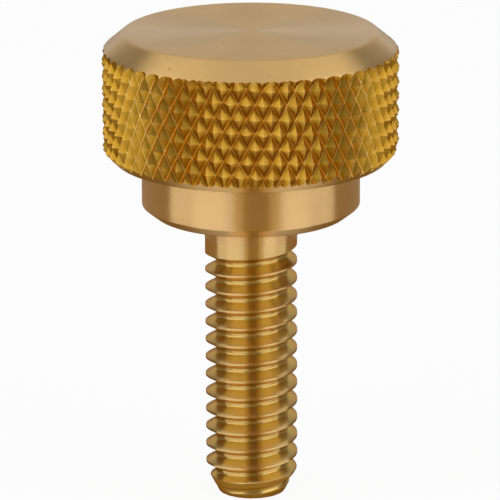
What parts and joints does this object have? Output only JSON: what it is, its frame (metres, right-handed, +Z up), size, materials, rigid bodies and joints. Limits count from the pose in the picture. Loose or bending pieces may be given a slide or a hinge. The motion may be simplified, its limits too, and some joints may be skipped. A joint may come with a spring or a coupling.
{
  "type": "knurled thumb screw",
  "caption": "Solid brass thumb screw: a bevelled, diamond-knurled head for turning by hand, over a plain collar, a short neck and a coarse right-hand thread with a bevelled end.",
  "frame": {"origin": "centre of the flat end of the thread, on the surface that the screw stands on", "axes": "+Z up along the screw's axis, from the end of the thread to the head; the screw is round apart from its knurl and thread, so X and Y are free"},
  "size_m": [0.0128, 0.0128, 0.0207],
  "materials": {
    "brass": "turned brass, bright and unplated, with fine lathe marks and a sharp cut knurl"
  },
  "bodies": {
    "root": {"thumb_screw": "brass"}
  },
  "joints": []
}
